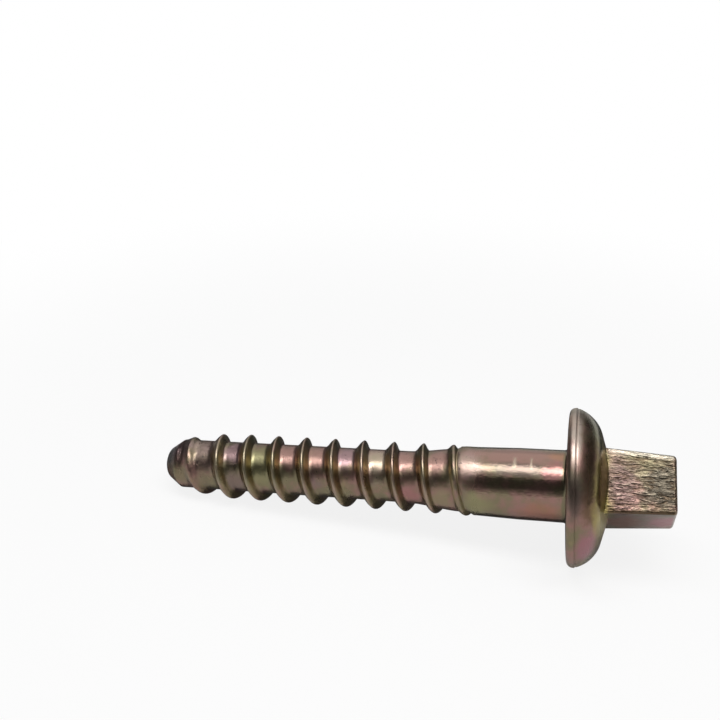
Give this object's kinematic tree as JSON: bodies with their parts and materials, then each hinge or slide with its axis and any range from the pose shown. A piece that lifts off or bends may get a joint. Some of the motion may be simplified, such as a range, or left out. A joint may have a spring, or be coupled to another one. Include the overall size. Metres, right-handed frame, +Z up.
{
  "type": "rail screw spike",
  "caption": "Forged rail screw spike with a tapered square head, a domed collar with a flat seat, a smooth shank and a coarse right-hand wood thread, shown lying at rest.",
  "frame": {"origin": "on the floor under the middle of the length, as the spike lies at rest on its collar rim and a thread crest", "axes": "+X along the length towards the square head, +Z up, with the axis of the spike rising about 6.5 degrees towards the head"},
  "size_m": [0.1818, 0.0524, 0.0523],
  "materials": {
    "yellow_zinc_steel": "yellow chromated zinc plating on forged steel, iridescent pink, olive and gold"
  },
  "bodies": {
    "root": {"screw_spike": "yellow_zinc_steel"}
  },
  "joints": []
}
